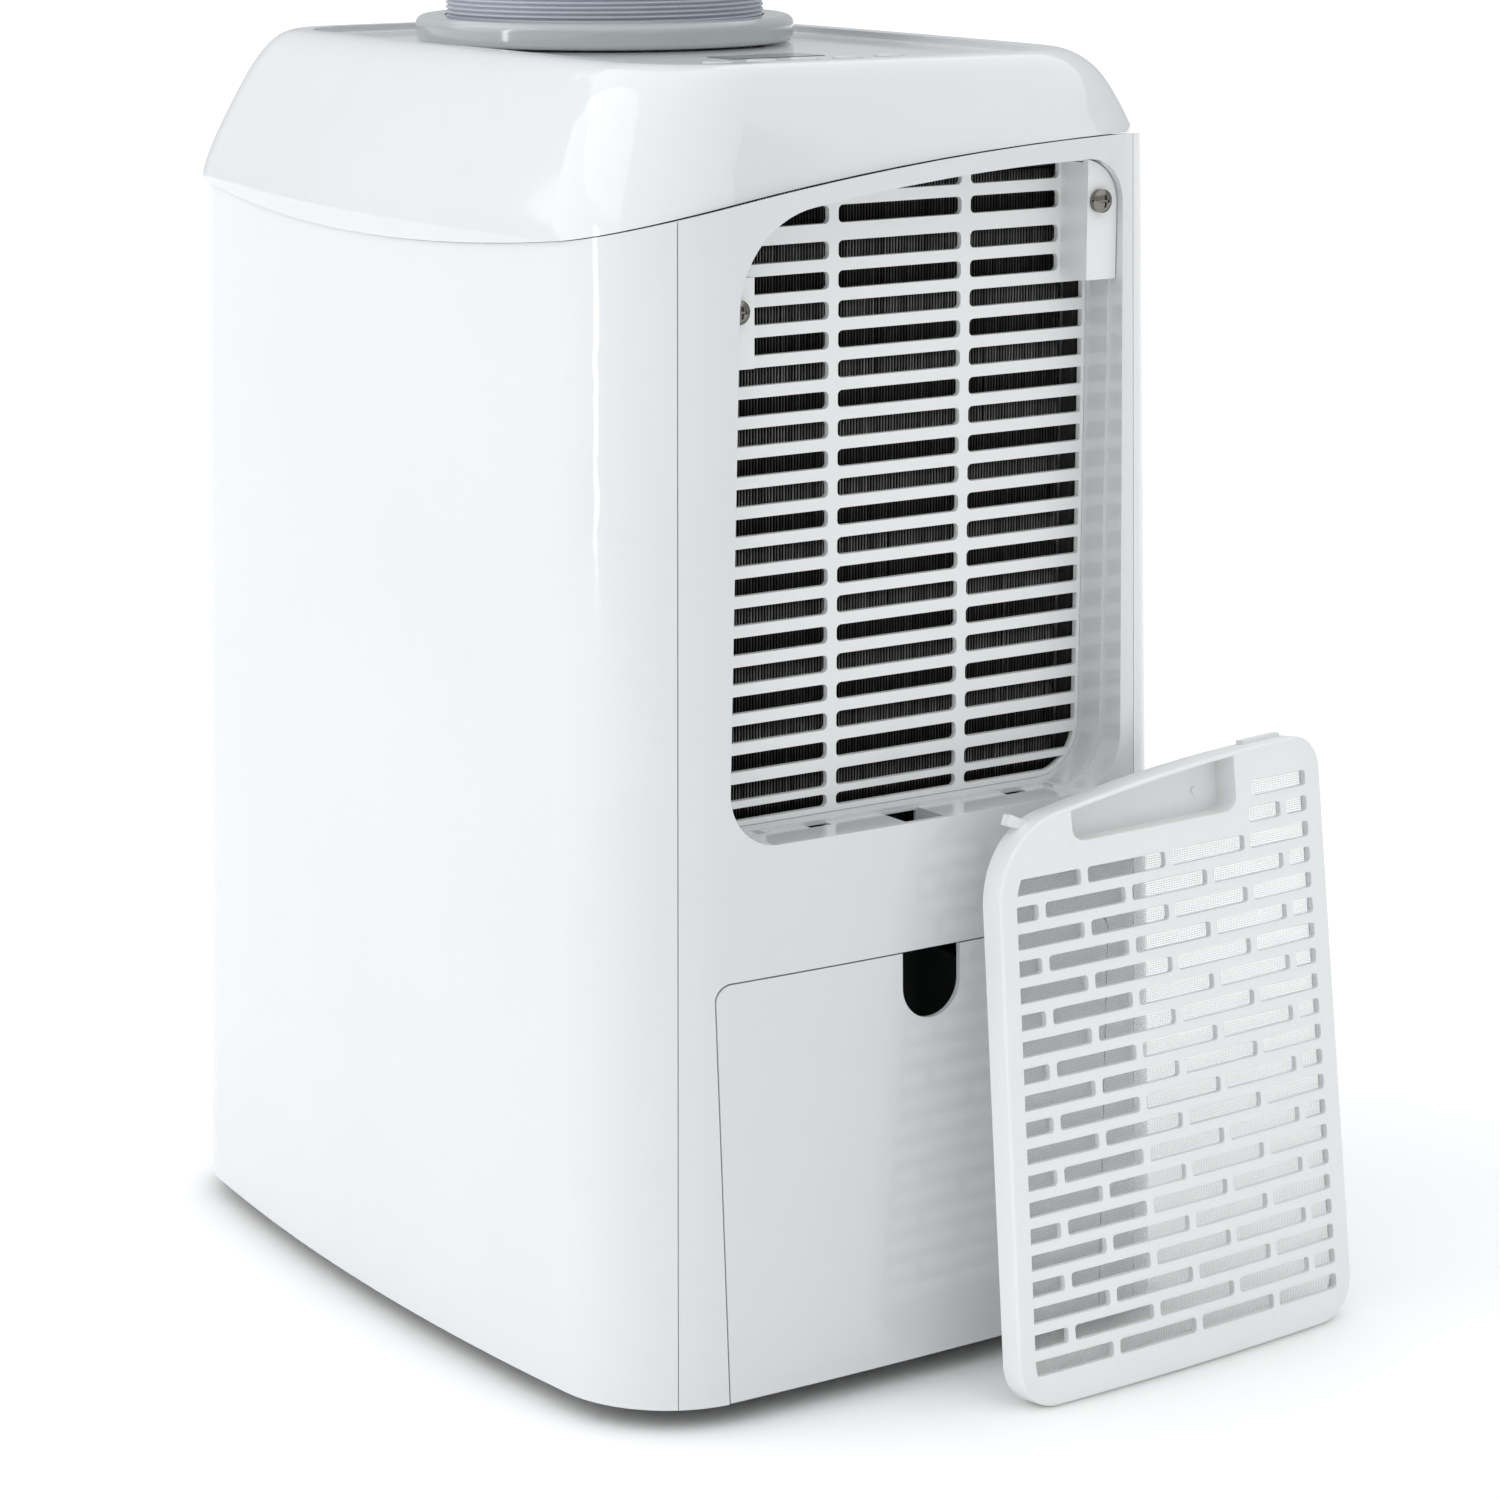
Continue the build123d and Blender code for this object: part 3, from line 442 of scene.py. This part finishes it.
def build_rim_cove():
    """Small cove that closes the foot of the rim around the sunk top."""
    tree = node_tree("top_cover")
    sides = len(COVE_SECTION)
    verts = []
    for k in range(RIM_STEPS):
        outward = Vector((cos(tau * k / RIM_STEPS), sin(tau * k / RIM_STEPS), 0))
        wall = tree.ray_cast(at(*TOP_CENTRE, TOP_FLOOR + PROBE_HEIGHT), outward)[3] / MM
        for step, height in COVE_SECTION:
            radius = wall + step
            verts.append((TOP_CENTRE[0] + radius * outward.x, TOP_CENTRE[1] + radius * outward.y,
                          TOP_FLOOR + height))
    faces = []
    for k in range(RIM_STEPS):
        here, there = k * sides, (k + 1) % RIM_STEPS * sides
        for c in range(sides):
            n = (c + 1) % sides
            faces.append((here + c, there + c, there + n, here + n))
    new_piece("top_rim_cove", verts, faces, "white_gloss", "root")


# ---- rounded edges ----
def soften(name, width):
    """Rounds the sharp edges of a moulded piece a little, as a mould does."""
    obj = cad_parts[name]
    join = obj.modifiers.new("join", "WELD")
    join.merge_threshold = 0.00001
    edge = obj.modifiers.new("rounded", "BEVEL")
    edge.width = width * MM
    edge.segments = 3
    edge.limit_method = "ANGLE"
    edge.angle_limit = radians(35.0)
    edge.harden_normals = True
    edge.use_clamp_overlap = True


# ---- stage, light, camera ----
FLOOR_REACH = 12.0


def build_stage():
    """A wide pale floor that scatters light softly into its shadows."""
    mesh = bpy.data.meshes.new("studio_floor")
    corners = [(x * FLOOR_REACH, y * FLOOR_REACH, 0) for x, y in ((-1, -1), (1, -1), (1, 1), (-1, 1))]
    mesh.from_pydata(corners, [], [(0, 1, 2, 3)])
    floor = bpy.data.objects.new("studio_floor", mesh)
    bpy.context.scene.collection.objects.link(floor)
    mesh.materials.append(plastic("studio_floor", (0.93, 0.93, 0.93), 0.9, vary=0.002, Subsurface_Weight=1.0,
                                  Subsurface_Scale=0.03, Subsurface_Radius=(1.0, 1.0, 1.0)))


def direction(azimuth, elevation):
    """A direction counted in degrees from the front towards the intake side, and upwards."""
    turn, rise = radians(azimuth), radians(elevation)
    return Vector((sin(turn) * cos(rise), -cos(turn) * cos(rise), sin(rise)))


def add_sun(name, azimuth, elevation, strength, spread):
    """A very soft distant light."""
    data = bpy.data.lights.new(name, "SUN")
    data.energy = strength
    data.angle = radians(spread)
    lamp = bpy.data.objects.new(name, data)
    bpy.context.scene.collection.objects.link(lamp)
    lamp.rotation_euler = direction(azimuth, elevation).to_track_quat("Z", "Y").to_euler()


def add_strip(name, place, target, size, power):
    """A tall narrow lamp whose reflection runs down the rounded corner."""
    data = bpy.data.lights.new(name, "AREA")
    data.shape = "RECTANGLE"
    data.size, data.size_y = size
    data.energy = power
    lamp = bpy.data.objects.new(name, data)
    bpy.context.scene.collection.objects.link(lamp)
    lamp.location = place
    lamp.rotation_euler = (Vector(target) - Vector(place)).to_track_quat("-Z", "Y").to_euler()


SKY_COLOUR = (0.96, 0.98, 1.0, 1.0)
SKY_STRENGTH = 0.57
BACKDROP_COLOUR = (1.0, 1.0, 1.0, 1.0)
BACKDROP_STRENGTH = 1.05


def build_light():
    """A pale even sky, which the camera sees as plain white, with three soft suns and one strip."""
    world = bpy.data.worlds.new("studio")
    bpy.context.scene.world = world
    world.use_nodes = True
    tree = world.node_tree
    sky = tree.nodes["Background"]
    sky.inputs["Color"].default_value = SKY_COLOUR
    sky.inputs["Strength"].default_value = SKY_STRENGTH
    backdrop = tree.nodes.new("ShaderNodeBackground")
    backdrop.inputs["Color"].default_value = BACKDROP_COLOUR
    backdrop.inputs["Strength"].default_value = BACKDROP_STRENGTH
    seen = tree.nodes.new("ShaderNodeLightPath")
    mix = tree.nodes.new("ShaderNodeMixShader")
    tree.links.new(seen.outputs["Is Camera Ray"], mix.inputs[0])
    tree.links.new(sky.outputs[0], mix.inputs[1])
    tree.links.new(backdrop.outputs[0], mix.inputs[2])
    tree.links.new(mix.outputs[0], tree.nodes["World Output"].inputs["Surface"])
    add_sun("top_soft", azimuth=0, elevation=90, strength=1.62, spread=110.0)
    add_sun("front_soft", azimuth=-25, elevation=30, strength=0.85, spread=60.0)
    add_sun("side_fill", azimuth=100, elevation=25, strength=0.16, spread=80.0)
    add_strip("strip", place=(-0.26, -3.0, 0.9), target=(0, 0, 0.4), size=(0.2, 2.2), power=10.0)


CAMERA_AZIMUTH = 55.64
CAMERA_ELEVATION = 13.11
CAMERA_DISTANCE = 1.859             # metres from the point it looks at
CAMERA_AIM = (197.3, -74.9, 295.8)
CAMERA_LENS = 99.17
CAMERA_SENSOR = 36.0


def build_camera():
    """Looks at the intake side and the front from a little above."""
    away = direction(CAMERA_AZIMUTH, CAMERA_ELEVATION)
    data = bpy.data.cameras.new("camera")
    data.lens = CAMERA_LENS
    data.sensor_width = CAMERA_SENSOR
    camera = bpy.data.objects.new("camera", data)
    bpy.context.scene.collection.objects.link(camera)
    camera.location = at(*CAMERA_AIM) + away * CAMERA_DISTANCE
    camera.rotation_euler = (-away).to_track_quat("-Z", "Y").to_euler()
    bpy.context.scene.camera = camera


dress_cad_nodes()
soften("filter_cover", 0.8)
soften("intake_grille", 0.7)
build_rim_cove()
build_hose()
build_fin_pack("evaporator", seed=5, roughness=1.0)
build_fin_pack("condenser", seed=8, roughness=0.5)
build_coil_seal()
build_net()
build_stage()
build_light()
build_camera()
bpy.context.scene.view_settings.view_transform = "Standard"
